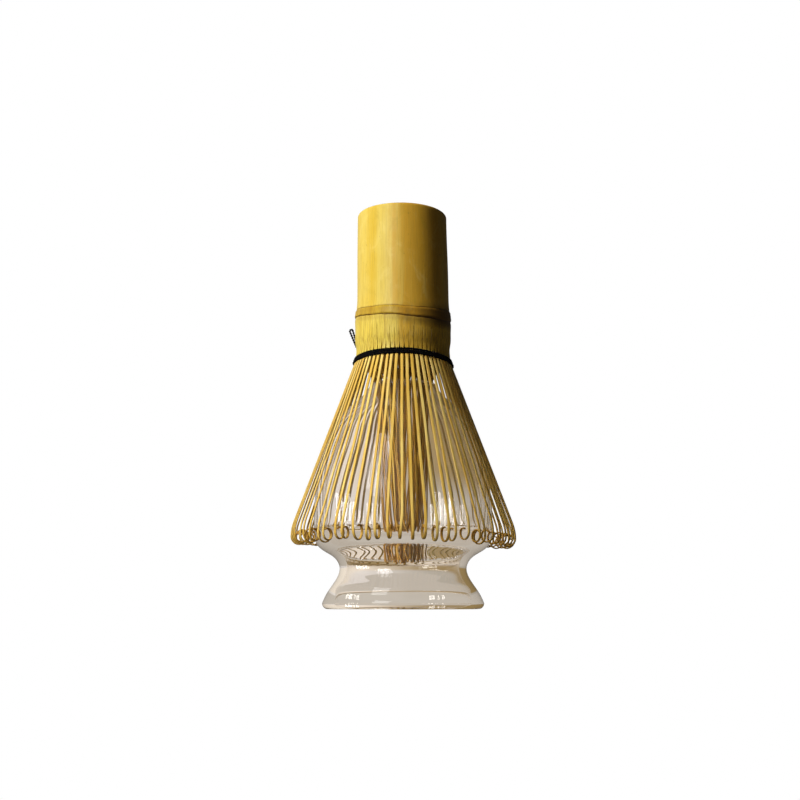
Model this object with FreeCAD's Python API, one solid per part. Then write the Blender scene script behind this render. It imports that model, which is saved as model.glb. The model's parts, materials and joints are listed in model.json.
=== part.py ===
"""Bamboo tea whisk resting over its glass whisk stand.

Millimetres, +Z up.  The origin is the centre of the foot ring, on the surface the stand rests on.
The whisk is one culm of bamboo: its upper end is the handle, and below the node the wall is split
into a ring of broad outer tines, whose ends curl inwards, and a ring of thin inner tines, which
close into a bundle.  One black thread holds the two rings apart.  The stand is blown glass with an
open mouth, which takes the bundle, and an open foot.
"""
import FreeCAD, Part
import math
import os

V = FreeCAD.Vector
AXIS = V(0, 0, 1)
ORIGIN = V(0, 0, 0)

# ---- the culm ---------------------------------------------------------------------------
TOP_Z = 118.0             # cut top of the handle
TOP_R = 13.7              # culm radius at the cut top
TOP_ROUNDING = 0.7        # worn outer edge of the cut
HANDLE_HOLLOW = 0.08      # how far the handle's side sinks in halfway up
BORE_R = 10.2             # natural hollow of the culm
BORE_CHAMFER = 0.3
NODE_BORE_R = 10.0        # the hollow is a little narrower inside the node
NODE_TOP_Z = 89.3
NODE_BOTTOM_Z = 85.9
NODE_TOP_R = 13.95
NODE_BOTTOM_R = 14.42
SCAR_EDGE_R = 14.57       # bulge of the scar's lower edge
SCAR = (14.32, 86.6)      # the leaf scar: radius and height where it is deepest
SCAR_BULGE = (14.47, 87.35)
RIDGE_GROOVE = (14.15, 88.6)
RIDGE_R = 14.25
RIDGE_Z = 88.95
DIAPHRAGM_Z = 87.2        # underside of the web that closes the culm at its node
DIAPHRAGM_T = 1.2
DIAPHRAGM_DISH = 0.5      # how much lower the web's middle is
DIAPHRAGM_FLAT_R = 3.0
COLLAR_Z = 73.9           # lower edge of the collar, where the tines begin
COLLAR_R = 14.1
COLLAR_WAIST_Z = 76.1
COLLAR_WAIST_R = 13.93
COLLAR_SHOULDER = (14.3, 81.5)
COLLAR_BORE_R = 11.2

# ---- the splits -------------------------------------------------------------------------
SPLITS = 16               # first splits of the culm, one group of tines each
TINES_PER_SPLIT = 4
TINES = SPLITS * TINES_PER_SPLIT
FIRST_TURN = 1.4          # degrees from +X to the middle of the first split's tines
SPLIT_WIDTH = 0.2
SPLIT_TOP_Z = 81.5
NOTCH_WIDTH = 0.5         # V between two tines at the collar's lower edge
NOTCH_HEIGHT = 2.8
CUT_R = 9.7               # where the cuts through the wall begin, inside the hollow
CUT_DEPTH = 6.0           # radial length of a cut
CUT_BELOW = 0.1           # how far a cut starts below the collar's edge

# ---- outer tines ------------------------------------------------------------------------
OUTER_THICKNESS = 0.35
OUTER_ROOT_WIDTH = 0.92
OUTER_TIP_WIDTH = 0.72
OUTER_TIP_Z = 18.0             # where the taper ends
OUTER_ROOT = (13.98, 73.65)    # radius and height of the centre line's start
OUTER_SLOPE = 20.48            # degrees outwards from straight down
OUTER_STRAIGHT = 51.2
BEND_R = 12.6                  # last part of the tine, turning back to vertical
CURL = [(2.3, 90), (1.9, 90), (1.7, 90), (1.4, 70)]    # radius, degrees of each arc of the curl

# ---- inner tines ------------------------------------------------------------------------
INNER_THICKNESS = 0.3
INNER_ROOT_WIDTH = 0.65
INNER_TIP_WIDTH = 0.38
INNER_ROOT_R = 11.5
INNER_START = 0.5              # straight stretch at the root
INNER_SHOULDER_R = 5.0
INNER_RETURN_R = 8.0
INNER_LEAN = 2.0               # degrees by which the whole bundle is twisted
INNER_TIP_Z = 12.0             # where the taper ends
INNER_LAYERS = [               # (slope inwards, slanted run, last slope, last run) of two staggered layers
    (30.0, 4.2, 4.7, 48.4),
    (34.0, 4.3, 4.7, 47.6),
]
ROOT_GAP = 0.02                # between the collar and the roots of the inner tines
TAPER_ABOVE = 1.0              # how far above the collar's edge the taper begins

# ---- the thread -------------------------------------------------------------------------
THREAD_D = 0.55
WRAP_Z = [73.85, 73.30, 72.75]    # the turns outside the outer tines
WRAP_STANDOFF = 0.44              # centre of a turn to the outer face of the tines
WEAVE_R = 12.9                    # the turn between outer and inner tines
WEAVE_Z = 73.3
KNOT_R = 0.6
KNOT_ANGLE = 139.0                # degrees about +Z from +X
KNOT_RISE = 0.3                   # above the middle turn
KNOT_GAP = 0.02                   # from the knot to the turns and to the ends
TAIL_D = 0.42
TAIL_TIPS = [V(-16.3, 9.8, 84.5), V(-15.7, 10.0, 84.8)]
TAIL_SPACING = 0.6                # between the two ends where they leave the knot

# ---- the glass stand: (radius, height) --------------------------------------------------
FOOT_OUTER_EDGE = (21.9, 0.0)
FOOT_RIM = (23.05, 0.5)
FOOT_INNER_EDGE = (20.7, 0.0)
FOOT_INNER_RIM = (20.3, 0.45)
OUTSIDE = [
    (23.5, 1.7), (22.4, 4.1), (19.75, 8.1), (18.5, 11.8), (19.7, 14.4), (22.6, 16.4), (25.2, 18.6),
    (26.0, 22.2), (25.9, 32.0), (24.2, 42.0), (21.0, 51.5), (16.0, 59.0), (11.9, 62.7), (9.95, 65.4),
]
LIP = (9.2, 66.15)
INSIDE = [
    (8.45, 65.4), (10.3, 61.7), (14.6, 57.6), (19.2, 50.5), (22.4, 41.4), (23.9, 32.0), (24.0, 25.4),
    (23.7, 22.4), (22.6, 20.6), (20.4, 19.4), (18.3, 17.4), (16.9, 14.4), (16.5, 11.6), (17.7, 7.9),
    (19.85, 4.0), (20.2, 1.5),
]


def place(point):
    """The point (radius, height) in the XZ plane."""
    return V(point[0], 0, point[1])


def line(start, end):
    return Part.LineSegment(place(start), place(end)).toShape()


def arc(start, middle, end):
    return Part.Arc(place(start), place(middle), place(end)).toShape()


def curve(points):
    """A smooth curve through the points (radius, height)."""
    spline = Part.BSplineCurve()
    spline.interpolate([place(p) for p in points])
    return spline.toShape()


def lathe(edges):
    """The solid of revolution about +Z of the closed outline that the edges make."""
    face = Part.Face(Part.Wire(edges))
    return face.revolve(ORIGIN, AXIS, 360)


def turned(shape, degrees):
    """A copy of the shape, turned about +Z."""
    copy = shape.copy()
    copy.rotate(ORIGIN, AXIS, degrees)
    return copy


# ---- the handle end of the culm -----------------------------------------------------------

def handle_culm():
    """The hollow handle above the node, slightly narrower towards its cut top."""
    rounding_end = (TOP_R, TOP_Z - TOP_ROUNDING)
    corner = TOP_ROUNDING * (1 - math.sqrt(0.5))
    halfway = ((NODE_TOP_R + TOP_R) / 2 - HANDLE_HOLLOW, (NODE_TOP_Z + TOP_Z) / 2)
    return lathe([
        line((BORE_R, NODE_TOP_Z), (NODE_TOP_R, NODE_TOP_Z)),
        arc((NODE_TOP_R, NODE_TOP_Z), halfway, rounding_end),
        arc(rounding_end, (TOP_R - corner, TOP_Z - corner), (TOP_R - TOP_ROUNDING, TOP_Z)),
        line((TOP_R - TOP_ROUNDING, TOP_Z), (BORE_R + BORE_CHAMFER, TOP_Z)),
        line((BORE_R + BORE_CHAMFER, TOP_Z), (BORE_R, TOP_Z - BORE_CHAMFER)),
        line((BORE_R, TOP_Z - BORE_CHAMFER), (BORE_R, NODE_TOP_Z)),
    ])


def culm_node_ring():
    """The swollen joint of the culm, with a ridge above and a leaf scar below."""
    scar_edge = (SCAR_EDGE_R, (NODE_BOTTOM_Z + SCAR[1]) / 2)
    return lathe([
        line((NODE_BORE_R, NODE_BOTTOM_Z), (NODE_BOTTOM_R, NODE_BOTTOM_Z)),
        arc((NODE_BOTTOM_R, NODE_BOTTOM_Z), scar_edge, SCAR),
        arc(SCAR, SCAR_BULGE, RIDGE_GROOVE),
        arc(RIDGE_GROOVE, (RIDGE_R, RIDGE_Z), (NODE_TOP_R, NODE_TOP_Z)),
        line((NODE_TOP_R, NODE_TOP_Z), (NODE_BORE_R, NODE_TOP_Z)),
        line((NODE_BORE_R, NODE_TOP_Z), (NODE_BORE_R, NODE_BOTTOM_Z)),
    ])


def node_diaphragm():
    """The thin dished web across the culm inside the node."""
    top = DIAPHRAGM_Z + DIAPHRAGM_T
    low = DIAPHRAGM_Z - DIAPHRAGM_DISH
    corners = [
        (0, low),
        (DIAPHRAGM_FLAT_R, low),
        (NODE_BORE_R, DIAPHRAGM_Z),
        (NODE_BORE_R, top),
        (DIAPHRAGM_FLAT_R, top - DIAPHRAGM_DISH),
        (0, top - DIAPHRAGM_DISH),
    ]
    return lathe([line(a, b) for a, b in zip(corners, corners[1:] + corners[:1])])


def first_split():
    """The narrow slit that a first split leaves in the wall, on the +X side."""
    bottom = COLLAR_Z - CUT_BELOW
    corner = V(CUT_R, -SPLIT_WIDTH / 2, bottom)
    return Part.makeBox(CUT_DEPTH, SPLIT_WIDTH, SPLIT_TOP_Z - bottom, corner)


def notch():
    """An upright V between two tines, open downwards, on the +X side."""
    corners = [
        V(CUT_R, -NOTCH_WIDTH / 2, COLLAR_Z - CUT_BELOW),
        V(CUT_R, NOTCH_WIDTH / 2, COLLAR_Z - CUT_BELOW),
        V(CUT_R, 0, COLLAR_Z + NOTCH_HEIGHT),
    ]
    return Part.Face(Part.makePolygon(corners + corners[:1])).extrude(V(CUT_DEPTH, 0, 0))


def split_collar():
    """The scraped wall below the node, notched between all tines and slit at the first splits."""
    waist = (COLLAR_WAIST_R, COLLAR_WAIST_Z)
    collar = lathe([
        line((COLLAR_BORE_R, COLLAR_Z), (COLLAR_R, COLLAR_Z)),
        line((COLLAR_R, COLLAR_Z), waist),
        arc(waist, COLLAR_SHOULDER, (NODE_BOTTOM_R, NODE_BOTTOM_Z)),
        line((NODE_BOTTOM_R, NODE_BOTTOM_Z), (BORE_R, NODE_BOTTOM_Z)),
        line((BORE_R, NODE_BOTTOM_Z), (COLLAR_BORE_R, COLLAR_Z)),
    ])
    cuts = [turned(notch(), FIRST_TURN + i * 360 / TINES) for i in range(TINES)]
    cuts += [turned(first_split(), FIRST_TURN + (i + 0.5) * 360 / SPLITS) for i in range(SPLITS)]
    return collar.cut(cuts)


# ---- tines --------------------------------------------------------------------------------

def strip_outline(start, heading, steps, thickness):
    """The closed outline of a strip of even thickness that follows a line in the XZ plane.

    heading is in degrees from straight down, positive outwards.  A step is (radius, turn): a turn
    in degrees, positive outwards, or a straight run of that length where the turn is 0.
    """
    half = thickness / 2
    outer_edges = []
    inner_edges = []
    x, z = start
    a = math.radians(heading)

    def side(x, z, a, offset):
        return (x + math.cos(a) * offset, z + math.sin(a) * offset)

    first = (side(x, z, a, half), side(x, z, a, -half))
    for size, turn in steps:
        if turn == 0:
            end = (x + math.sin(a) * size, z - math.cos(a) * size, a)
            middle = None
        else:
            sign = math.copysign(1, turn)
            centre = side(x, z, a, sign * size)
            middle_a = a + math.radians(turn) / 2
            end_a = a + math.radians(turn)
            middle = side(*centre, middle_a, -sign * size) + (middle_a,)
            end = side(*centre, end_a, -sign * size) + (end_a,)
        for edges, offset in ((outer_edges, half), (inner_edges, -half)):
            here = side(x, z, a, offset)
            there = side(*end, offset)
            edges.append(arc(here, side(*middle, offset), there) if middle else line(here, there))
        x, z, a = end
    last = (side(x, z, a, half), side(x, z, a, -half))
    ends = [line(*first), line(*last)]
    return Part.Wire(Part.__sortEdges__(outer_edges + inner_edges + ends))


def tapered(outline, root_z, tip_z, root_width, tip_width):
    """The strip given its width across the radial plane, narrowing from root to tip."""
    slab = Part.Face(outline).extrude(V(0, root_width, 0))
    slab.translate(V(0, -root_width / 2, 0))
    corners = [
        V(0, -root_width / 2, root_z),
        V(0, root_width / 2, root_z),
        V(0, tip_width / 2, tip_z),
        V(0, -tip_width / 2, tip_z),
    ]
    reach = 2 * OUTSIDE[0][0]
    wedge = Part.Face(Part.makePolygon(corners + corners[:1])).extrude(V(reach, 0, 0))
    return slab.common(wedge).Solids[0]


def outer_tine():
    """One broad tine: straight down and outwards, then bent back and curled inwards."""
    steps = [(OUTER_STRAIGHT, 0), (BEND_R, -OUTER_SLOPE)]
    steps += [(radius, -turn) for radius, turn in CURL]
    outline = strip_outline(OUTER_ROOT, OUTER_SLOPE, steps, OUTER_THICKNESS)
    return tapered(outline, COLLAR_Z + TAPER_ABOVE, OUTER_TIP_Z, OUTER_ROOT_WIDTH, OUTER_TIP_WIDTH)


def inner_tine(slope, slanted_run, last_slope, last_run):
    """One thin tine: in towards the axis, and then down in the bundle."""
    steps = [
        (INNER_START, 0),
        (INNER_SHOULDER_R, -slope),
        (slanted_run, 0),
        (INNER_RETURN_R, slope - last_slope),
        (last_run, 0),
    ]
    root = (INNER_ROOT_R, COLLAR_Z - ROOT_GAP)
    outline = strip_outline(root, 0, steps, INNER_THICKNESS)
    tine = tapered(outline, COLLAR_Z + TAPER_ABOVE, INNER_TIP_Z, INNER_ROOT_WIDTH, INNER_TIP_WIDTH)
    tine.rotate(place(root), V(1, 0, 0), INNER_LEAN)
    return tine


def tine_angle(split, tine):
    """Degrees about +Z of a tine of a split."""
    return FIRST_TURN + (split * TINES_PER_SPLIT + tine - (TINES_PER_SPLIT - 1) / 2) * 360 / TINES


def tine_groups():
    """The outer and inner tines of every split, as node name to shape."""
    outer = outer_tine()
    inner = [inner_tine(*layer) for layer in INNER_LAYERS]
    groups = {}
    for split in range(SPLITS):
        angles = [tine_angle(split, tine) for tine in range(TINES_PER_SPLIT)]
        number = f"{split + 1:02d}"
        groups["outer_tines_" + number] = Part.makeCompound([turned(outer, a) for a in angles])
        layered = [turned(inner[i % len(inner)], a) for i, a in enumerate(angles)]
        groups["inner_tines_" + number] = Part.makeCompound(layered)
    return groups


# ---- the thread ---------------------------------------------------------------------------

def tine_face_r(z):
    """Radius of the outer tines' outer face at the height z, on their straight run."""
    slope = math.radians(OUTER_SLOPE)
    return OUTER_ROOT[0] + OUTER_THICKNESS / 2 / math.cos(slope) + (OUTER_ROOT[1] - z) * math.tan(slope)


def ring(radius, z):
    return Part.makeTorus(radius, THREAD_D / 2, V(0, 0, z), AXIS)


def thread_outer_wrap():
    """The turns that bind the outer tines from outside."""
    return Part.makeCompound([ring(tine_face_r(z) + WRAP_STANDOFF, z) for z in WRAP_Z])


def knot_centre():
    outermost = tine_face_r(WRAP_Z[1]) + WRAP_STANDOFF + THREAD_D / 2
    angle = math.radians(KNOT_ANGLE)
    reach = outermost + KNOT_R + KNOT_GAP
    return V(reach * math.cos(angle), reach * math.sin(angle), WRAP_Z[1] + KNOT_RISE)


def thread_tails():
    """The two cut ends of the thread, which stand up beside the collar."""
    tails = []
    for i, tip in enumerate(TAIL_TIPS):
        direction = (tip - knot_centre()).normalize()
        sideways = direction.cross(AXIS).normalize() * ((i - 0.5) * TAIL_SPACING)
        start = knot_centre() + direction * (KNOT_R + KNOT_GAP) + sideways
        span = tip - start
        tails.append(Part.makeCylinder(TAIL_D / 2, span.Length, start, span))
    return Part.makeCompound(tails)


# ---- the stand ----------------------------------------------------------------------------

def glass_stand():
    """The blown-glass stand: one wall, with an open mouth on top and an open foot."""
    return lathe([
        line(FOOT_INNER_EDGE, FOOT_OUTER_EDGE),
        arc(FOOT_OUTER_EDGE, FOOT_RIM, OUTSIDE[0]),
        curve(OUTSIDE),
        arc(OUTSIDE[-1], LIP, INSIDE[0]),
        curve(INSIDE),
        arc(INSIDE[-1], FOOT_INNER_RIM, FOOT_INNER_EDGE),
    ])


def main():
    nodes = {
        "glass_stand": glass_stand(),
        "handle_culm": handle_culm(),
        "culm_node_ring": culm_node_ring(),
        "node_diaphragm": node_diaphragm(),
        "split_collar": split_collar(),
        "thread_outer_wrap": thread_outer_wrap(),
        "thread_inner_weave": ring(WEAVE_R, WEAVE_Z),
        "thread_knot": Part.makeSphere(KNOT_R, knot_centre()),
        "thread_tails": thread_tails(),
    }
    nodes.update(tine_groups())
    os.makedirs("parts", exist_ok=True)
    for name, shape in nodes.items():
        if not shape.isValid():
            raise SystemExit(f"{name} is not a valid shape")
        shape.exportStep(f"parts/{name}.step")
        print(f"{name}: {len(shape.Solids)} solid(s), {shape.Volume:.2f} mm3")


main()
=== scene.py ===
"""Looks of the bamboo tea whisk on its glass stand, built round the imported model.

Shapes are worked out in millimetres, +Z up, and become metres in the meshes.
"""
import json
import math
import random

import bmesh
import bpy
import numpy as np
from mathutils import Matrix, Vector, noise

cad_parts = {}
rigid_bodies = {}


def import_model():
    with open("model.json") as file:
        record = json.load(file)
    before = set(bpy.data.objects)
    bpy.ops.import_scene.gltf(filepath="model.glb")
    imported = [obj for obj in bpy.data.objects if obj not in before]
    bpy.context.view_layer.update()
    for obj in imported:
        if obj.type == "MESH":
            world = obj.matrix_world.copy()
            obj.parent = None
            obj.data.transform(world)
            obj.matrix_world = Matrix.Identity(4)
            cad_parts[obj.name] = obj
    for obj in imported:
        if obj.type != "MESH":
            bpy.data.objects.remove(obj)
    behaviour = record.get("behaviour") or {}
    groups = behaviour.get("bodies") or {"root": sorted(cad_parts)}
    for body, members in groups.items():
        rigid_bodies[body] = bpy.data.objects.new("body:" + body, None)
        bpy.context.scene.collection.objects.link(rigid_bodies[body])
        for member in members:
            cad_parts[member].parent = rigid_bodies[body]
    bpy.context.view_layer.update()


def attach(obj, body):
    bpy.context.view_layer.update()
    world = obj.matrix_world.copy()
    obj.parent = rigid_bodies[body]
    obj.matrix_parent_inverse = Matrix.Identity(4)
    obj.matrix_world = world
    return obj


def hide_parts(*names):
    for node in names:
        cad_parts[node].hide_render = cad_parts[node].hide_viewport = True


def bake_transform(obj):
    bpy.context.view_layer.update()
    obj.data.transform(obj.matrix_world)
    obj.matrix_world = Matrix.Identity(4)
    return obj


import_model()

MM = 0.001
TAU = 2 * math.pi

# ---- dimensions shared with the solids --------------------------------------------------
TOP_Z = 118.0
BORE_R = 10.2
NODE_BORE_R = 10.0
NODE_TOP_Z = 89.3
NODE_BOTTOM_Z = 85.9
COLLAR_Z = 73.9
COLLAR_R = 14.1
COLLAR_BORE_R = 11.2
SPLITS = 16
TINES_PER_SPLIT = 4
TINES = SPLITS * TINES_PER_SPLIT
FIRST_TURN = math.radians(1.4)
OUTER_ROOT = (13.98, 73.65)
OUTER_SLOPE = 20.48
OUTER_STRAIGHT = 51.2
OUTER_THICKNESS = 0.35
BEND_R = 12.6
CURL = [(2.3, 90), (1.9, 90), (1.7, 90), (1.4, 70)]
INNER_ROOT_R = 11.5
WRAP_STANDOFF = 0.44
WEAVE_R = 12.9
WEAVE_Z = 73.3
KNOT_ANGLE = math.radians(139)
TAIL_TIPS = [Vector((-16.4, 9.7, 84.5)), Vector((-15.5, 10.1, 84.8))]

# Outer profile of the culm: (height, radius).
CULM = [
    (73.9, 14.10), (74.6, 14.03), (75.5, 13.94), (76.6, 13.96), (78.5, 14.24), (81.0, 14.32),
    (83.4, 14.36), (85.2, 14.38), (85.9, 14.36), (86.4, 14.47), (87.2, 14.42), (88.1, 14.32),
    (88.8, 14.14), (89.3, 13.98), (89.9, 13.92), (90.8, 13.84), (93.3, 13.74), (98.0, 13.74),
    (105.0, 13.76), (112.0, 13.73), (118.0, 13.70),
]

# ---- dimensions that only the looks have ------------------------------------------------
NODE_MIDDLE_Z = 87.0        # where the brown stain round the node is strongest
COLLAR_BELT_Z = 77.4        # the collar's rows follow its notched edge below this height
PLAIN_ALONG = 105.0         # "along" of the bore: a height far from the node's scars
TOP_ROUNDING = 0.7          # radius of the cut top's outer edge
LIP_R = 12.6                # outermost ring of the end grain
BORE_CHAMFER = 0.3
CULM_COLUMNS = 224
WEB_RADII = (0.6, 1.6, 3.0, 4.6, 6.4, 8.2, 9.4, NODE_BORE_R)
WEB_BOTTOM_Z, WEB_TOP_Z = 86.7, 87.9
OUTER_START_R = 13.90
OUTER_WIDTH, OUTER_TAPER, OUTER_RUN = 0.92, 0.20, 70
INNER_WIDTH, INNER_TAPER, INNER_RUN = 0.62, 0.20, 64
INNER_ROOT_WIDTH = 0.88
INNER_THICKNESS = 0.28
INNER_LAYERS = (            # (slope in degrees, straight run, run in the bundle)
    (30, 4.2, 48.4),
    (34, 4.3, 47.6),
)
FIRST_BEND_R, SECOND_BEND_R = 5.0, 8.0
WRAP_TURNS, WRAP_TOP_Z, WRAP_PITCH = 3, 74.10, 0.60
WRAP_RADIUS, WEAVE_RADIUS, KNOT_RADIUS, TAIL_RADIUS = 0.36, 0.27, 0.20, 0.33
GLASS_LIP, FOOT_INSIDE, FOOT_OUTSIDE = (9.2, 66.15), (20.3, 0.45), (23.05, 0.5)
FOOT_RING = [(20.7, 0.0), (21.1, 0.0), (21.5, 0.0), (21.9, 0.0)]


def smoothstep(low, high, x):
    t = min(1.0, max(0.0, (x - low) / (high - low)))
    return t * t * (3 - 2 * t)


def natural_spline(points):
    """A function of t in 0..1 that runs smoothly through the points, t by the length of chords."""
    p = np.array(points, float)
    s = np.concatenate([[0], np.cumsum(np.linalg.norm(np.diff(p, axis=0), axis=1))])
    h = np.diff(s)
    n = len(p)
    a = np.eye(n)
    b = np.zeros_like(p)
    for i in range(1, n - 1):
        a[i, i - 1:i + 2] = h[i - 1], 2 * (h[i - 1] + h[i]), h[i]
        b[i] = 6 * ((p[i + 1] - p[i]) / h[i] - (p[i] - p[i - 1]) / h[i - 1])
    m = np.linalg.solve(a, b)

    def at(t):
        x = t * s[-1]
        i = min(n - 2, int(np.searchsorted(s, x, side="right")) - 1)
        i = max(i, 0)
        u, v = s[i + 1] - x, x - s[i]
        return tuple(
            (m[i] * u ** 3 + m[i + 1] * v ** 3) / (6 * h[i])
            + (p[i] / h[i] - m[i] * h[i] / 6) * u + (p[i + 1] / h[i] - m[i + 1] * h[i] / 6) * v
        )
    return at


class Piece:
    """Gathers the points and faces of one closed mesh, with three values at each point.

    They are called along, across and seed; each material says or shows what it takes them for.
    """

    def __init__(self):
        self.points = []
        self.values = []
        self.faces = []

    def add(self, point, along=0.0, across=0.0, seed=0.0):
        self.points.append((point[0] * MM, point[1] * MM, point[2] * MM))
        self.values.append((along, across, seed))
        return len(self.points) - 1

    def grid(self, rows, closed=False):
        """Quads between rows of closed loops of points; closed joins the last row to the first."""
        count = len(rows[0])
        pairs = list(zip(rows, rows[1:]))
        if closed:
            pairs.append((rows[-1], rows[0]))
        for low, high in pairs:
            for i in range(count):
                j = (i + 1) % count
                self.faces.append((low[i], low[j], high[j], high[i]))

    def tube(self, rows):
        """A tube through the rows, with a flat face on each end."""
        self.grid(rows)
        self.faces.append(tuple(reversed(rows[0])))
        self.faces.append(tuple(rows[-1]))

    def make(self, name, material, slot, sharp=35):
        mesh = bpy.data.meshes.new(name)
        mesh.from_pydata(self.points, [], self.faces)
        for k, key in enumerate(("along", "across", "seed")):
            layer = mesh.attributes.new(key, "FLOAT", "POINT")
            layer.data.foreach_set("value", [v[k] for v in self.values])
        bm = bmesh.new()
        bm.from_mesh(mesh)
        bmesh.ops.recalc_face_normals(bm, faces=bm.faces)
        bm.to_mesh(mesh)
        bm.free()
        mesh.shade_smooth()
        mesh.set_sharp_from_angle(angle=math.radians(sharp))
        mesh.materials.append(material)
        made = bpy.data.objects.new(name, mesh)
        bpy.context.scene.collection.objects.link(made)
        return made


# ---- materials --------------------------------------------------------------------------

def mix_colours(nodes, links, factor, a, b):
    """The socket of a colour between a and b, each of which is a socket or a tuple."""
    made = nodes.new("ShaderNodeMix")
    made.data_type = "RGBA"
    links.new(factor, made.inputs[0])
    for socket, value in ((made.inputs[6], a), (made.inputs[7], b)):
        if isinstance(value, bpy.types.NodeSocket):
            links.new(value, socket)
        else:
            socket.default_value = (*value, 1)
    return made.outputs[2]


class Shader:
    """A node material with a Principled shader, and short calls for the nodes it needs."""

    def __init__(self, name, **inputs):
        self.material = bpy.data.materials.new(name)
        self.material.use_nodes = True
        self.nodes = self.material.node_tree.nodes
        self.links = self.material.node_tree.links
        self.main = self.nodes["Principled BSDF"]
        for key, value in inputs.items():
            self.main.inputs[key.replace("_", " ")].default_value = value

    def put(self, socket, value):
        if isinstance(value, bpy.types.NodeSocket):
            self.links.new(value, socket)
        elif value is not None:
            socket.default_value = value

    def node(self, kind, inputs=None, **settings):
        made = self.nodes.new(kind)
        for key, value in settings.items():
            setattr(made, key, value)
        for key, value in (inputs or {}).items():
            self.put(made.inputs[key], value)
        return made

    def attribute(self, name):
        return self.node("ShaderNodeAttribute", attribute_name=name).outputs["Fac"]

    def position(self, scale):
        """Object coordinates, in metres, times a scale along each axis."""
        inputs = {0: self.node("ShaderNodeTexCoord").outputs["Object"], 1: scale}
        return self.node("ShaderNodeVectorMath", inputs, operation="MULTIPLY").outputs[0]

    def vector(self, x, y, z):
        return self.node("ShaderNodeCombineXYZ", {0: x, 1: y, 2: z}).outputs[0]

    def noise(self, vector, scale=1.0, detail=3.0, rough=0.5, warp=0.0):
        inputs = {
            "Vector": vector, "Scale": scale, "Detail": detail, "Roughness": rough,
            "Distortion": warp,
        }
        return self.node("ShaderNodeTexNoise", inputs).outputs["Fac"]

    def math(self, operation, a, b=None, c=None, clamp=False):
        inputs = {0: a} | ({1: b} if b is not None else {}) | ({2: c} if c is not None else {})
        return self.node("ShaderNodeMath", inputs, operation=operation, use_clamp=clamp).outputs[0]

    def times(self, a, b):
        return self.math("MULTIPLY", a, b)

    def range(self, value, low, high, to_low=0.0, to_high=1.0):
        """The value taken smoothly from low..high to to_low..to_high."""
        inputs = {
            "Value": value, "From Min": low, "From Max": high, "To Min": to_low, "To Max": to_high,
        }
        made = self.node("ShaderNodeMapRange", inputs, interpolation_type="SMOOTHSTEP")
        return made.outputs["Result"]

    def mix(self, factor, a, b):
        return mix_colours(self.nodes, self.links, factor, a, b)

    def bump(self, height, depth, strength=1.0, normal=None):
        inputs = {"Height": height, "Distance": depth, "Strength": strength, "Normal": normal}
        made = self.node("ShaderNodeBump", {k: v for k, v in inputs.items() if v is not None})
        return made.outputs["Normal"]

    def finish(self, colour, roughness=None, normal=None):
        self.put(self.main.inputs["Base Color"], colour)
        self.put(self.main.inputs["Roughness"], roughness)
        self.put(self.main.inputs["Normal"], normal)
        return self.material


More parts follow.
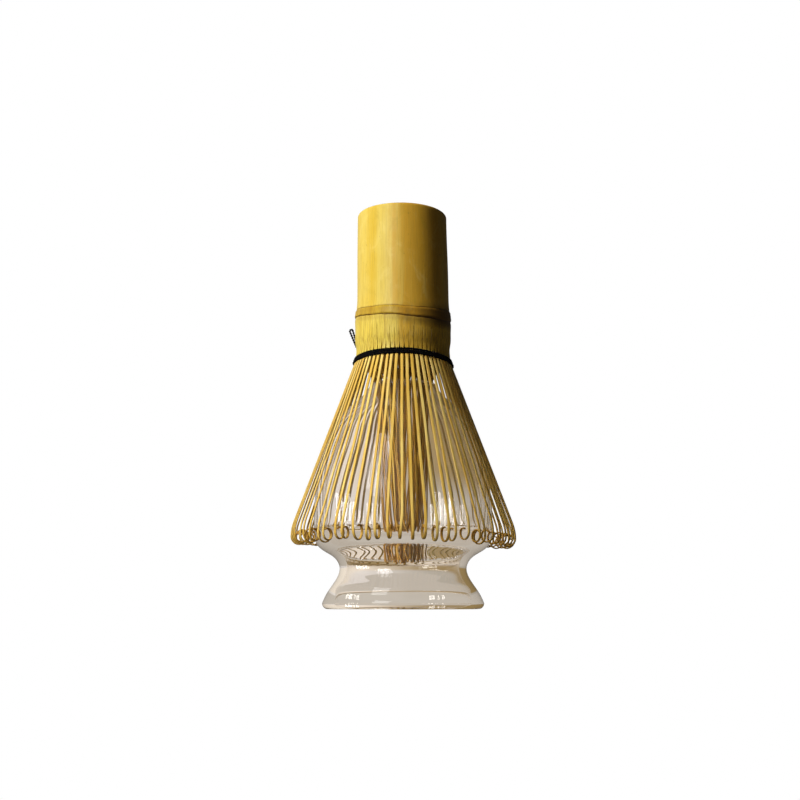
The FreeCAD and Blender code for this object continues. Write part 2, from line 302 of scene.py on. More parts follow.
def culm_skin(name, pale, deep, gloss, shade_side_darkening, fibre, node_shade):
    """Dried bamboo rind: long fibres, broad tone streaks, mottling, and brown scars at the node,
    with painted shade on its right side, near the node and in the collar's grooves.

    shade_side_darkening is how much painted shade makes the skin darker and more orange from the
    front round to the right, fibre how dark the fibres are, and node_shade how much painted shade
    darkens the skin near the node on its right, round towards the back. The mesh keeps the nominal
    height in along, the painted shade of each slit in across and the cut end in seed.
    """
    s = Shader(name, Coat_Weight=gloss, Coat_Roughness=0.28, Specular_IOR_Level=0.30)
    # Each noise has its own number of waves to the metre, across and along the culm.
    fibres = s.noise(s.position((2600, 2600, 70)), detail=4, rough=0.65)
    threads = s.noise(s.position((4200, 4200, 110)), detail=3)
    streaks = s.noise(s.position((330, 330, 14)), detail=3, rough=0.55)
    mottle = s.noise(s.position((150, 150, 90)), detail=5, rough=0.6, warp=0.4)
    tone = s.math("ADD", s.times(streaks, 0.6), s.times(mottle, 0.4))
    colour = s.mix(s.range(tone, 0.38, 0.74), pale, deep)
    # turn is 0 in front, positive to the right, and jumps at the back, where to_back is 0.
    spot = s.node("ShaderNodeSeparateXYZ", {0: s.position((1, 1, 1))}).outputs
    turn = s.math("ARCTAN2", spot["X"], s.times(spot["Y"], -1.0))
    turn = s.math("ADD", turn, s.math("MULTIPLY_ADD", streaks, 0.9, -0.45))
    to_back = s.range(turn, 1.7, 2.75, 1.0, 0.0)
    # Painted shade: from just right of the front round to the right side, the skin is made darker
    # and more orange, as where it turns away from the light.
    shade_side_mask = s.times(s.range(turn, -0.32, 0.10), s.range(turn, 0.55, 1.3, 1.0, 0.45))
    shade_side_mask = s.times(shade_side_mask, to_back)
    colour = s.mix(s.times(shade_side_mask, shade_side_darkening), colour, (0.70, 0.36, 0.022))
    colour = s.mix(s.range(fibres, 0.42, 0.75, 0, fibre), colour, (0.42, 0.24, 0.04))
    colour = s.mix(s.range(threads, 0.50, 0.70, 0, fibre), colour, (0.27, 0.14, 0.02))
    specks = s.noise(s.position((1500, 1500, 700)), detail=2)
    colour = s.mix(s.range(specks, 0.68, 0.77, 0, 0.45), colour, (0.30, 0.16, 0.03))
    clouds = s.noise(s.position((210, 210, 120)), detail=6, rough=0.7, warp=0.8)
    colour = s.mix(s.range(clouds, 0.50, 0.72, 0, 0.30), colour, (0.93, 0.76, 0.24))
    colour = s.mix(s.range(clouds, 0.30, 0.46, 0.28, 0), colour, (0.52, 0.35, 0.035))
    height = s.attribute("along")
    ragged = s.math("MULTIPLY_ADD", s.noise(s.position((420, 420, 420)), detail=4), 0.7, -0.35)
    ragged_height = s.math("ADD", height, ragged)
    breaks = s.range(s.noise(s.position((240, 240, 90)), detail=3), 0.34, 0.56, 0.45, 1.0)
    # The node's scars and stained bands: height, half width, strength and colour.
    for level, width, strength, tint in (
        (NODE_TOP_Z + 0.05, 0.26, 0.60, (0.20, 0.10, 0.02)),
        (NODE_TOP_Z - 1.4, 1.6, 0.22, (0.36, 0.20, 0.03)),
        (NODE_BOTTOM_Z + 0.05, 0.36, 0.95, (0.09, 0.035, 0.012)),
        (NODE_BOTTOM_Z - 0.6, 1.5, 0.40, (0.33, 0.20, 0.04)),
    ):
        away = s.math("ABSOLUTE", s.math("SUBTRACT", ragged_height, level))
        near = s.times(s.range(away, 0.0, width, strength, 0.0), breaks)
        colour = s.mix(near, colour, tint)
    # Painted shade: near the node, the right side of the skin is darkened towards dark brown.
    from_node = s.math("ABSOLUTE", s.math("SUBTRACT", ragged_height, NODE_MIDDLE_Z))
    node_shade_mask = s.times(s.range(from_node, 1.4, 5.0, node_shade, 0.0), to_back)
    colour = s.mix(s.times(s.range(turn, -0.5, 0.9), node_shade_mask), colour, (0.10, 0.05, 0.012))
    # Painted shade: the collar's grooves and notches are darkened where the across value marks
    # them.
    slit_shade = s.attribute("across")
    colour = s.mix(s.times(slit_shade, 0.85), colour, (0.10, 0.05, 0.015))
    cut = s.attribute("seed")
    fine = s.position((1700, 1700, 1700))
    bundles = s.node("ShaderNodeTexVoronoi", {"Vector": fine, "Scale": 1.0})
    dots = s.range(bundles.outputs["Distance"], 0.18, 0.42, 0.75, 0.0)
    end_grain = s.mix(dots, (0.62, 0.44, 0.20), (0.17, 0.08, 0.03))
    colour = s.mix(cut, colour, end_grain)
    rough = s.range(s.math("ADD", s.times(fibres, 0.5), mottle), 0.4, 1.1, 0.32, 0.50)
    grain = s.bump(fibres, 0.00005, 0.5)
    return s.finish(colour, rough, s.bump(mottle, 0.00022, 0.35, grain))


def culm_inside(name):
    s = Shader(name, Roughness=0.75)
    fibres = s.noise(s.position((1800, 1800, 90)), detail=4, rough=0.6)
    mottle = s.noise(s.position((260, 260, 200)), detail=4)
    colour = s.mix(s.range(fibres, 0.35, 0.7), (0.60, 0.46, 0.24), (0.42, 0.28, 0.11))
    colour = s.mix(s.range(mottle, 0.45, 0.75, 0, 0.5), colour, (0.34, 0.20, 0.08))
    return s.finish(colour, None, s.bump(fibres, 0.00006, 0.6))


def tine_wood(name, pale, deep, dark, tip, tip_start, tip_strength, root_shade):
    """Split bamboo: fibres along the tine, a tone of its own for each tine, darker at the tip, and
    darkened by painted shade at the root as much as root_shade says.
    """
    s = Shader(name, Coat_Weight=0.12, Coat_Roughness=0.35)
    along = s.attribute("along")
    across = s.attribute("across")
    seed = s.attribute("seed")
    place = s.vector(s.times(across, 2.6), s.times(seed, 91.0), s.times(along, 2.2))
    fibres = s.noise(place, 1.6, 4, 0.65)
    slow = s.noise(s.vector(s.times(seed, 57.0), 0.0, s.times(along, 5.0)))
    own = s.noise(s.vector(s.times(seed, 211.0), 3.0, 0.0), detail=0)
    tone = s.math("ADD", s.times(slow, 0.45), s.times(own, 0.55))
    colour = s.mix(s.range(tone, 0.38, 0.60), pale, deep)
    colour = s.mix(s.range(fibres, 0.48, 0.74, 0, 0.65), colour, dark)
    # Painted shade: each tine darkens towards its long edges, as where its sides turn from the
    # light.
    edge = s.range(s.math("ABSOLUTE", across), 0.62, 1.0, 0.0, 0.60)
    colour = s.mix(edge, colour, dark)
    blotch = s.noise(s.vector(s.times(seed, 133.0), across, s.times(along, 26.0)))
    reach = s.math("ADD", along, s.math("MULTIPLY_ADD", blotch, 0.12, -0.06))
    colour = s.mix(s.range(reach, tip_start, 1.0, 0.0, tip_strength), colour, tip)
    # Painted shade: the root is darkened, where the inner tines lie in the shade of the outer ones.
    colour = s.mix(s.range(along, 0.05, 0.34, root_shade, 0.0), colour, dark)
    rough = s.range(fibres, 0.3, 0.7, 0.34, 0.56)
    return s.finish(colour, rough, s.bump(fibres, 0.00004, 0.5))


def thread_cotton(name):
    s = Shader(
        name, Roughness=0.82, Sheen_Weight=0.05, Sheen_Roughness=0.4, Specular_IOR_Level=0.12)
    along = s.attribute("along")
    across = s.attribute("across")
    lint = s.noise(s.vector(s.times(across, 3.0), 0.0, s.times(along, 3.2)), 1.6, 4)
    fibre = s.noise(s.position((5200, 5200, 5200)), detail=3)
    colour = s.mix(s.range(lint, 0.35, 0.75), (0.0012, 0.0012, 0.0018), (0.008, 0.008, 0.011))
    return s.finish(colour, None, s.bump(s.math("ADD", lint, fibre), 0.00006, 0.8))


def stand_glass(name):
    """Clear blown glass, its faces slightly uneven.

    Light from the lamps goes straight through it, and so does a ray that has been reflected once,
    so that none is lost between the two faces of the wall.
    """
    s = Shader(name, Roughness=0.0, IOR=1.47, Transmission_Weight=1.0)
    waves = s.noise(s.position((42, 42, 60)), detail=1)
    s.finish((0.975, 0.962, 0.955, 1), None, s.bump(waves, 0.0011, 0.35))
    path = s.node("ShaderNodeLightPath")
    surface = s.main.outputs[0]
    for output, tint in (
        ("Is Reflection Ray", (0.97, 0.96, 0.95)),
        ("Is Shadow Ray", (0.93, 0.92, 0.91)),
    ):
        clear = s.node("ShaderNodeBsdfTransparent", {"Color": (*tint, 1)})
        both = s.node("ShaderNodeMixShader", {0: path.outputs[output]})
        s.links.new(surface, both.inputs[1])
        s.links.new(clear.outputs[0], both.inputs[2])
        surface = both.outputs[0]
    s.links.new(surface, s.nodes["Material Output"].inputs["Surface"])
    return s.material


SKIN = culm_skin(
    "bamboo_skin", pale=(0.81, 0.62, 0.125), deep=(0.73, 0.49, 0.045),
    gloss=0.07, shade_side_darkening=0.80, fibre=0.20, node_shade=0.6)
NODE = culm_skin(
    "bamboo_node", pale=(0.61, 0.41, 0.035), deep=(0.42, 0.23, 0.015),
    gloss=0.0, shade_side_darkening=1.0, fibre=0.40, node_shade=0.80)
SCRAPED = culm_skin(
    "bamboo_scraped", pale=(0.88, 0.70, 0.125), deep=(0.74, 0.53, 0.055),
    gloss=0.0, shade_side_darkening=0.70, fibre=0.58, node_shade=0.85)
INSIDE = culm_inside("bamboo_inside")
OUTER_WOOD = tine_wood(
    "bamboo_outer_tine", pale=(0.89, 0.71, 0.23), deep=(0.74, 0.48, 0.08),
    dark=(0.30, 0.15, 0.018), tip=(0.42, 0.20, 0.03),
    tip_start=0.80, tip_strength=0.70, root_shade=0.0)
INNER_WOOD = tine_wood(
    "bamboo_inner_tine", pale=(0.93, 0.68, 0.17), deep=(0.66, 0.37, 0.05),
    dark=(0.22, 0.10, 0.014), tip=(0.42, 0.19, 0.028),
    tip_start=0.60, tip_strength=0.50, root_shade=0.75)
THREAD = thread_cotton("black_thread")
GLASS = stand_glass("clear_glass")


# ---- the culm ---------------------------------------------------------------------------

culm_line = natural_spline(CULM)
culm_heights, culm_radii = np.array([culm_line(i / 600) for i in range(601)]).T


def culm_radius(z):
    return float(np.interp(z, culm_heights, culm_radii))


def node_shift(angle, z):
    """How far the node's rings stand off their mean height: they are tilted and a little wavy."""
    weight = smoothstep(79.5, 84.5, z) * (1 - smoothstep(90.5, 98.0, z))
    tilt = 1.45 * math.sin(angle)
    tilt += 0.18 * math.sin(3 * angle + 1.0)
    tilt += 0.10 * math.sin(7 * angle + 2.0)
    share = min(1.0, max(0.0, (z - NODE_BOTTOM_Z) / (NODE_TOP_Z - NODE_BOTTOM_Z)))
    lower, upper = -0.35 - 0.85 * math.cos(angle), -0.80 - 0.35 * math.cos(angle)
    return weight * (tilt + lower + (upper - lower) * share)


def skin_point(angle, z, inwards=0.0):
    """A point of the culm's outer face at the nominal height z; the cut top isn't quite true."""
    waviness = noise.noise(Vector((2.2 * math.cos(angle), 2.2 * math.sin(angle), z * 0.04)))
    high = smoothstep(92.0, TOP_Z, z)
    narrower = 0.5 * high * max(0.0, math.cos(angle)) ** 2
    r = culm_radius(z) + 0.05 * math.cos(2 * angle + 0.7) + 0.05 * waviness - narrower - inwards
    return polar(r, angle, z + node_shift(angle, z) + high * top_tilt(angle))


def top_tilt(angle):
    """How far the cut top stands above or below its mean height."""
    return -0.36 * math.sin(angle) - 0.22 * math.cos(angle)


def root_shift(angle):
    """The thread, and the tine roots with it, stand a little higher in front than at the sides."""
    return -0.30 - 0.30 * math.cos(angle) - 0.25 * math.sin(angle) - 0.40 * math.cos(2 * angle)


def polar(radius, angle, z):
    return (radius * math.cos(angle), radius * math.sin(angle), z)


def steps(low, high, count):
    return [low + (high - low) * i / count for i in range(count + 1)]


def circle(count):
    """Angles all round, without the one that closes the circle."""
    return [TAU * i / count for i in range(count)]


def handle():
    p = Piece()
    angles = circle(CULM_COLUMNS)
    rows = []
    for z in steps(NODE_TOP_Z, 93.0, 14) + steps(93.6, TOP_Z - TOP_ROUNDING, 26):
        rows.append([p.add(skin_point(a, z), z) for a in angles])
    for k in range(1, 7):
        bend = math.radians(15 * k)
        inwards = TOP_ROUNDING * (1 - math.cos(bend))
        z = TOP_Z - TOP_ROUNDING * (1 - math.sin(bend))
        rows.append([p.add(skin_point(a, z, inwards), z, 0, smoothstep(3, 6, k)) for a in angles])
    for r in steps(LIP_R, BORE_R + BORE_CHAMFER, 5):
        ring = []
        for a in angles:
            saw = 0.035 * noise.noise(Vector((math.cos(a) * r * 1.3, math.sin(a) * r * 0.35, 2.0)))
            ring.append(p.add(polar(r, a, TOP_Z + saw + top_tilt(a)), TOP_Z, 0, 1))
        rows.append(ring)
    for z in [TOP_Z - BORE_CHAMFER] + steps(TOP_Z - 1.2, NODE_TOP_Z, 16):
        ring = []
        for a in angles:
            r = BORE_R + 0.06 * noise.noise(Vector((3 * math.cos(a), 3 * math.sin(a), z * 0.08)))
            tilted = z + top_tilt(a) * smoothstep(112, TOP_Z - BORE_CHAMFER, z)
            ring.append(p.add(polar(r, a, tilted), PLAIN_ALONG))
        rows.append(ring)
    p.grid(rows, closed=True)
    made = p.make("handle", SKIN, "bamboo_skin", 50)
    made.data.materials.append(INSIDE)
    for face in made.data.polygons:
        c = face.center
        if math.hypot(c.x, c.y) < (BORE_R + 0.35) * MM and c.z < (TOP_Z - 0.05) * MM:
            face.material_index = 1
    return made


def node_ring():
    p = Piece()
    angles = circle(CULM_COLUMNS)
    rows = []
    for z in steps(NODE_BOTTOM_Z, NODE_TOP_Z, 18):
        low = math.exp(-((z - NODE_BOTTOM_Z - 0.05) / 0.16) ** 2)
        high = math.exp(-((z - NODE_TOP_Z + 0.02) / 0.14) ** 2)
        ridge = 0.07 * math.exp(-((z - 88.6) / 0.28) ** 2)
        ring = []
        for a in angles:
            uneven = 1 + 0.5 * noise.noise(Vector((5 * math.cos(a), 5 * math.sin(a), z)))
            ring.append(p.add(skin_point(a, z, (0.16 * low + 0.09 * high) * uneven - ridge), z))
        rows.append(ring)
    for z in steps(NODE_TOP_Z, NODE_BOTTOM_Z, 4):
        rows.append([p.add(polar(NODE_BORE_R, a, z), z) for a in angles])
    p.grid(rows, closed=True)
    return p.make("node_ring", NODE, "bamboo_node", 60)


def node_web():
    """The web that closes the hollow: a dished plate with a slightly puckered middle."""
    p = Piece()
    rows = []
    for level, radii in ((WEB_BOTTOM_Z, WEB_RADII), (WEB_TOP_Z, WEB_RADII[::-1])):
        for r in radii:
            z = level + 0.5 * smoothstep(2, 10, r)
            weight = 1 - smoothstep(8, 10, r)
            ring = []
            for a in circle(72):
                pucker = noise.noise(Vector((r * math.cos(a) * 0.5, r * math.sin(a) * 0.5, z)))
                ring.append(p.add(polar(r, a, z + 0.10 * weight * pucker)))
            rows.append(ring)
    p.tube(rows)
    return p.make("node_web", INSIDE, "bamboo_inside", 50)


def collar():
    """The scraped wall: a V between all tines, hairline grooves above, deeper at first splits."""
    rng = random.Random(5)
    p = Piece()
    pitch = TAU / TINES
    slit_half, notch_half = 0.11, 0.25
    offsets = [0.0, slit_half, notch_half, 0.46]
    long_slits = {42: (0.16, 83.6), 50: (0.42, 82.8)}   # gap: (depth, height of its top)
    columns = []
    for gap in range(TINES):
        first_split = gap % TINES_PER_SPLIT == TINES_PER_SPLIT // 2
        height = rng.uniform(2.2, 3.3)
        top = rng.uniform(80.5, 83.4) if first_split else rng.uniform(77.0, 82.4)
        depth = rng.uniform(0.08, 0.16) if first_split else rng.uniform(0.03, 0.09)
        if gap in long_slits:
            depth, top = long_slits[gap]
            height = 3.4
        for d in offsets:
            columns.append((FIRST_TURN + gap * pitch + d / COLLAR_R, d, height, depth, top))
        columns.append((FIRST_TURN + (gap + 0.5) * pitch, 0.7, 0.0, 0.0, 80.0))
        for d in reversed(offsets[1:]):
            columns.append((FIRST_TURN + (gap + 1) * pitch - d / COLLAR_R, d, None, None, None))
    first = columns[0]
    filled = []
    for k, column in enumerate(columns):
        if column[2] is None:
            ahead = next((c for c in columns[k:] if c[1] == 0.0), first)
            column = (column[0], column[1], *ahead[2:])
        filled.append(column)
    rows = []

    def ring(outer, share_low, share_high):
        """A row of points: share_low is its place below the belt, share_high its place above."""
        made = []
        for angle, d, height, depth, top in filled:
            edge = COLLAR_Z + root_shift(angle) + height * max(0.0, 1 - d / notch_half)
            if share_high is None:
                z = edge + (COLLAR_BELT_Z - edge) * share_low
            else:
                z = COLLAR_BELT_Z + (NODE_BOTTOM_Z - COLLAR_BELT_Z) * share_high
            if outer:
                near = max(0.0, 1 - d / slit_half)
                fade = 1 - smoothstep(top - 1.5, top, z)
                scar = 0.16 * math.exp(-((z - NODE_BOTTOM_Z - 0.05) / 0.16) ** 2)
                point = skin_point(angle, z, depth * near * fade + scar)
                # across holds the painted shade of the groove, stronger where the groove is deeper.
                made.append(p.add(point, z, near * fade * min(1.0, 0.25 + 3 * depth)))
            else:
                narrower = (BORE_R - COLLAR_BORE_R) * (z - COLLAR_Z) / (NODE_BOTTOM_Z - COLLAR_Z)
                made.append(p.add(polar(COLLAR_BORE_R + narrower, angle, z), 80.0))
        return made

    for share in steps(1, 0, 22):
        rows.append(ring(True, None, share))
    for share in steps(0.86, 0, 6):
        rows.append(ring(True, share, None))
    for share in steps(0, 0.8, 2):
        rows.append(ring(False, share, None))
    for share in steps(0.15, 1, 3):
        rows.append(ring(False, None, share))
    p.grid(rows, closed=True)
    return p.make("split_collar_skin", SCRAPED, "bamboo_scraped", 40)


# ---- tines ------------------------------------------------------------------------------
# A tine's line is drawn in the plane of its azimuth; heading is its angle from straight down.

def strip(p, line, azimuth, thickness, seed):
    """Adds one tine: line is a list of (radius, height, heading, side, width), from root to tip."""
    out = Vector((math.cos(azimuth), math.sin(azimuth), 0))
    across = Vector((-math.sin(azimuth), math.cos(azimuth), 0))
    up = Vector((0, 0, 1))
    spine = [out * r + up * z + across * side for r, z, heading, side, width in line]
    length = [0.0]
    for a, b in zip(spine, spine[1:]):
        length.append(length[-1] + (b - a).length)
    rows = []
    for k, (r, z, heading, side, width) in enumerate(line):
        ahead = spine[min(k + 1, len(spine) - 1)] - spine[max(k - 1, 0)]
        ahead.normalize()
        normal = out * math.cos(heading) + up * math.sin(heading)
        cross = ahead.cross(normal).normalized()
        normal = cross.cross(ahead).normalized()
        w, t = width / 2, thickness / 2
        c = min(0.11, t * 0.7)
        share = length[k] / length[-1]
        corners = [(-w, -t + c), (-w, t - c), (-w + c, t), (0, t + 0.025), (w - c, t), (w, t - c),
                   (w, -t + c), (w - c, -t), (-w + c, -t)]
        points = [(spine[k] + cross * x + normal * y, x / w) for x, y in corners]
        rows.append([p.add(point, share, edge, seed) for point, edge in points])
    p.tube(rows)


def outer_line(rng, azimuth):
    """A tine's own line: the common one with the small differences that hand splitting leaves."""
    slope = math.radians(OUTER_SLOPE + rng.uniform(-0.22, 0.22))
    lean = math.radians(rng.uniform(-0.75, 0.75))
    wave = rng.uniform(-0.10, 0.10)
    wave_length = rng.uniform(24, 40)
    phase = rng.uniform(0, TAU)
    curl_size = rng.uniform(0.86, 1.10)
    twist = rng.uniform(-0.09, 0.09)
    last_turn = rng.uniform(20, 95)
    width = rng.uniform(0.94, 1.06)
    x, z = OUTER_START_R, COLLAR_Z + root_shift(azimuth)
    longer = 0.25 - 0.6 * math.sin(azimuth) + 0.15 * math.cos(azimuth) + rng.uniform(-0.25, 0.25)
    heading = slope
    run = 0.0
    side = 0.0
    line = []

    def station():
        ripple = wave * math.sin(phase + run / wave_length * TAU) * smoothstep(2, 12, run)
        own_width = width * (OUTER_WIDTH - OUTER_TAPER * min(1, run / OUTER_RUN))
        line.append((x, z, heading, side + ripple, own_width))

    def advance(length, turn, count):
        nonlocal x, z, heading, run, side
        for _ in range(count):
            step = length / count
            middle = heading + turn / count / 2
            x += math.sin(middle) * step
            z -= math.cos(middle) * step
            heading += turn / count
            run += step
            side += math.tan(lean) * step if turn == 0 else twist * step
            station()

    station()
    advance(OUTER_STRAIGHT + longer, 0, 15)
    advance(BEND_R * slope, -slope, 5)
    for radius, turn in CURL[:3]:
        angle = math.radians(turn)
        advance(radius * curl_size * angle, -angle, 9)
    angle = math.radians(last_turn)
    advance(CURL[3][0] * curl_size * angle, -angle, 8)
    return line


def inner_line(rng, layer):
    """A thin tine's line: in towards the bundle, then down in it."""
    layer_slope, straight, bundle_run = INNER_LAYERS[layer]
    slope = math.radians(layer_slope + rng.uniform(-0.6, 1.5))
    lean = math.radians(1.5 + rng.uniform(-4.0, 4.0))
    last_slope = math.radians(2.4 + rng.uniform(-1.6, 1.2))
    closing = math.radians(4.4 + rng.uniform(-1.2, 1.0))
    width = rng.uniform(0.9, 1.1)
    x, z, heading, run, side = INNER_ROOT_R, COLLAR_Z, 0.0, 0.0, 0.0
    line = []

    def advance(length, turn, count):
        nonlocal x, z, heading, run, side
        for _ in range(count):
            step = length / count
            middle = heading + turn / count / 2
            x += math.sin(middle) * step
            z -= math.cos(middle) * step
            heading += turn / count
            run += step
            side += math.tan(lean) * step
            broad = (INNER_ROOT_WIDTH - INNER_WIDTH) * (1 - smoothstep(1, 7, run))
            own_width = width * (INNER_WIDTH + broad - INNER_TAPER * run / INNER_RUN)
            line.append((x, z, heading, side, own_width))

    line.append((x, z, heading, side, width * INNER_ROOT_WIDTH))
    advance(0.5, 0, 1)
    advance(FIRST_BEND_R * slope, -slope, 5)
    advance(straight, 0, 3)
    advance(SECOND_BEND_R * (slope - last_slope), slope - last_slope, 6)
    advance(bundle_run + rng.uniform(-1.5, 0.4), -closing, 12)
    return line


def tine_azimuth(split, tine):
    return FIRST_TURN + (split * TINES_PER_SPLIT + tine - (TINES_PER_SPLIT - 1) / 2) * TAU / TINES


def make_tines():
    rng = random.Random(11)
    for split in range(SPLITS):
        number = f"{split + 1:02d}"
        outer, inner = Piece(), Piece()
        for tine in range(TINES_PER_SPLIT):
            azimuth = tine_azimuth(split, tine)
            astray = azimuth + math.radians(rng.uniform(-0.35, 0.35))
            strip(outer, outer_line(rng, astray), astray, OUTER_THICKNESS, rng.random())
            strip(inner, inner_line(rng, tine % 2), azimuth, INNER_THICKNESS, rng.random())
        made = outer.make("outer_tine_set_" + number, OUTER_WOOD, "bamboo_outer_tine")
        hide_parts("outer_tines_" + number)
        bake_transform(made)
        made = inner.make("inner_tine_set_" + number, INNER_WOOD, "bamboo_inner_tine")
        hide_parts("inner_tines_" + number)
        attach(made, "whisk")


# ---- the thread -------------------------------------------------------------------------

def yarn(p, points, radius, turns, closed=False):
    """Two plies twisted round each other along the points."""
    count, sides = len(points), 6
    lengths = [0.0]
    for a, b in zip(points, points[1:]):
        lengths.append(lengths[-1] + (b - a).length)
    for ply in range(2):
        rows = []
        for k, point in enumerate(points):
            before = points[k - 1] if closed or k else points[0]
            after = points[(k + 1) % count] if closed or k < count - 1 else points[-1]
            ahead = (after - before).normalized()
            side = ahead.cross(Vector((0, 0, 1)))
            if side.length < 0.05:
                side = ahead.cross(Vector((0, 1, 0)))
            side.normalize()
            over = side.cross(ahead).normalized()
            spin = TAU * (turns * k / (count if closed else count - 1)) + math.pi * ply
            centre = point + (side * math.cos(spin) + over * math.sin(spin)) * radius * 0.46
            ring = []
            for j in range(sides):
                a = TAU * j / sides
                at = centre + (side * math.cos(a) + over * math.sin(a)) * radius * 0.60
                ring.append(p.add(at, lengths[k], j / sides))
            rows.append(ring)
        if closed:
            p.grid(rows, closed=True)
        else:
            p.tube(rows)


def tine_face_r(z):
    slope = math.radians(OUTER_SLOPE)
    root_r, root_z = OUTER_ROOT
    return root_r + OUTER_THICKNESS / 2 / math.cos(slope) + (root_z - z) * math.tan(slope)


def wrap_point(angle, z, dip):
    """A point of the thread's line over the tines, sinking a little between them."""
    between = 0.5 + 0.5 * math.cos((angle - FIRST_TURN) * TINES)
    r = tine_face_r(z) + WRAP_STANDOFF - 0.14 - dip * between
    return Vector(polar(r, angle, z))


def make_thread():
    """The wrap, the row between the tines, the knot and the doubled end of the one thread."""
    p = Piece()
    line = []
    per_turn = 420
    for k in range(WRAP_TURNS * per_turn + 1):
        share = k / per_turn
        angle = KNOT_ANGLE + TAU * share
        z = WRAP_TOP_Z - WRAP_PITCH * share + 0.14 * noise.noise(Vector((share * 9, 0, 0)))
        line.append(wrap_point(angle, z, 0.13) + Vector((0, 0, root_shift(angle))))
    yarn(p, line, WRAP_RADIUS, WRAP_TURNS * 80)
    wrap = p.make("thread_wrap", THREAD, "black_thread", 180)
    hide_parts("thread_outer_wrap")
    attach(wrap, "whisk")

    p = Piece()
    line = []
    for a in circle(448):
        line.append(Vector(polar(WEAVE_R + 0.10 * math.cos(a * TINES / 2), a, WEAVE_Z)))
    yarn(p, line, WEAVE_RADIUS, 72, closed=True)
    weave = p.make("thread_weave", THREAD, "black_thread", 180)
    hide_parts("thread_inner_weave")
    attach(weave, "whisk")

    knot_centre = Vector(polar(tine_face_r(73.3) + WRAP_STANDOFF + 0.9, KNOT_ANGLE, 73.6))
    out = Vector((math.cos(KNOT_ANGLE), math.sin(KNOT_ANGLE), 0))
    sideways = Vector((-out.y, out.x, 0))
    p = Piece()
    line = []
    for t in circle(96):
        x = (math.sin(t) + 2 * math.sin(2 * t)) * 0.19
        y = (math.cos(t) - 2 * math.cos(2 * t)) * 0.19
        z = -math.sin(3 * t) * 0.26
        line.append(knot_centre + sideways * x + Vector((0, 0, 1)) * y + out * z)
    yarn(p, line, KNOT_RADIUS, 9, closed=True)
    knot = p.make("thread_knot_loops", THREAD, "black_thread", 180)
    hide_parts("thread_knot")
    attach(knot, "whisk")

    p = Piece()
    sides = []
    for i, tip in enumerate(TAIL_TIPS):
        start = knot_centre + sideways * (0.7 * (i - 0.5)) + Vector((0, 0, 0.3))
        bow = (start + tip) / 2 + out * (0.35 - 0.2 * i) + sideways * 0.15
        shares = steps(0, 1, 60)
        sides.append([start * (1 - t) ** 2 + bow * 2 * t * (1 - t) + tip * t * t for t in shares])
    middle = (TAIL_TIPS[0] + TAIL_TIPS[1]) / 2
    half = (TAIL_TIPS[0] - TAIL_TIPS[1]) / 2
    crown = Vector((0, 0, 0.38))
    over = [middle + half * math.cos(t) + crown * math.sin(t) for t in steps(0, math.pi, 10)[1:-1]]
    yarn(p, sides[0] + over + sides[1][::-1], TAIL_RADIUS, 17)
    tails = p.make("thread_ends", THREAD, "black_thread", 180)
    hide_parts("thread_tails")
    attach(tails, "whisk")


# ---- the glass stand --------------------------------------------------------------------

# The two faces of the wall: (radius, height).
OUTSIDE = [
    (23.5, 1.7), (22.4, 4.1), (19.75, 8.1), (18.5, 11.8), (19.7, 14.4), (22.6, 16.4),
    (25.2, 18.6), (26.0, 22.2), (25.9, 32.0), (24.2, 42.0), (21.0, 51.5), (16.0, 59.0),
    (11.9, 62.7), (9.95, 65.4),
]
INSIDE_WALL = [
    (8.45, 65.4), (10.3, 61.7), (14.6, 57.6), (19.2, 50.5), (22.4, 41.4), (23.9, 32.0),
    (24.0, 25.4), (23.7, 22.4), (22.6, 20.6), (20.4, 19.4), (18.3, 17.4), (16.9, 14.4),
    (16.5, 11.6), (17.7, 7.9), (19.85, 4.0), (20.2, 1.5),
]


def arc_through(start, middle, end, count):
    """Points of the circle through three points of the profile, without its two ends."""
    ax, ay = start
    bx, by = middle
    cx, cy = end
    d = 2 * (ax * (by - cy) + bx * (cy - ay) + cx * (ay - by))
    a2, b2, c2 = ax * ax + ay * ay, bx * bx + by * by, cx * cx + cy * cy
    ox = (a2 * (by - cy) + b2 * (cy - ay) + c2 * (ay - by)) / d
    oy = (a2 * (cx - bx) + b2 * (ax - cx) + c2 * (bx - ax)) / d
    radius = math.hypot(ax - ox, ay - oy)
    first, mid, last = (math.atan2(q[1] - oy, q[0] - ox) for q in (start, middle, end))
    sweep = (last - first) % TAU
    if (mid - first) % TAU > sweep:
        sweep -= TAU
    angles = [first + sweep * k / count for k in range(1, count)]
    return [(ox + radius * math.cos(a), oy + radius * math.sin(a)) for a in angles]


def make_glass():
    outside = natural_spline(OUTSIDE)
    inside = natural_spline(INSIDE_WALL)
    profile = [outside(k / 110) for k in range(111)]
    profile += arc_through(OUTSIDE[-1], GLASS_LIP, INSIDE_WALL[0], 10)
    profile += [inside(k / 110) for k in range(111)]
    profile += arc_through(INSIDE_WALL[-1], FOOT_INSIDE, FOOT_RING[0], 6)
    profile += FOOT_RING
    profile += arc_through(FOOT_RING[-1], FOOT_OUTSIDE, OUTSIDE[0], 8)
    p = Piece()
    rows = [[p.add(polar(r, a, z)) for a in circle(192)] for r, z in profile]
    p.grid(rows, closed=True)
    made = p.make("stand_bell", GLASS, "clear_glass", 60)
    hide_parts("glass_stand")
    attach(made, "stand")


for make, node in (
    (handle, "handle_culm"),
    (node_ring, "culm_node_ring"),
    (node_web, "node_diaphragm"),
    (collar, "split_collar"),
):
    piece = make()
    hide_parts(node)
    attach(piece, "whisk")
make_tines()
make_thread()
make_glass()


# ---- stage, light and camera ------------------------------------------------------------

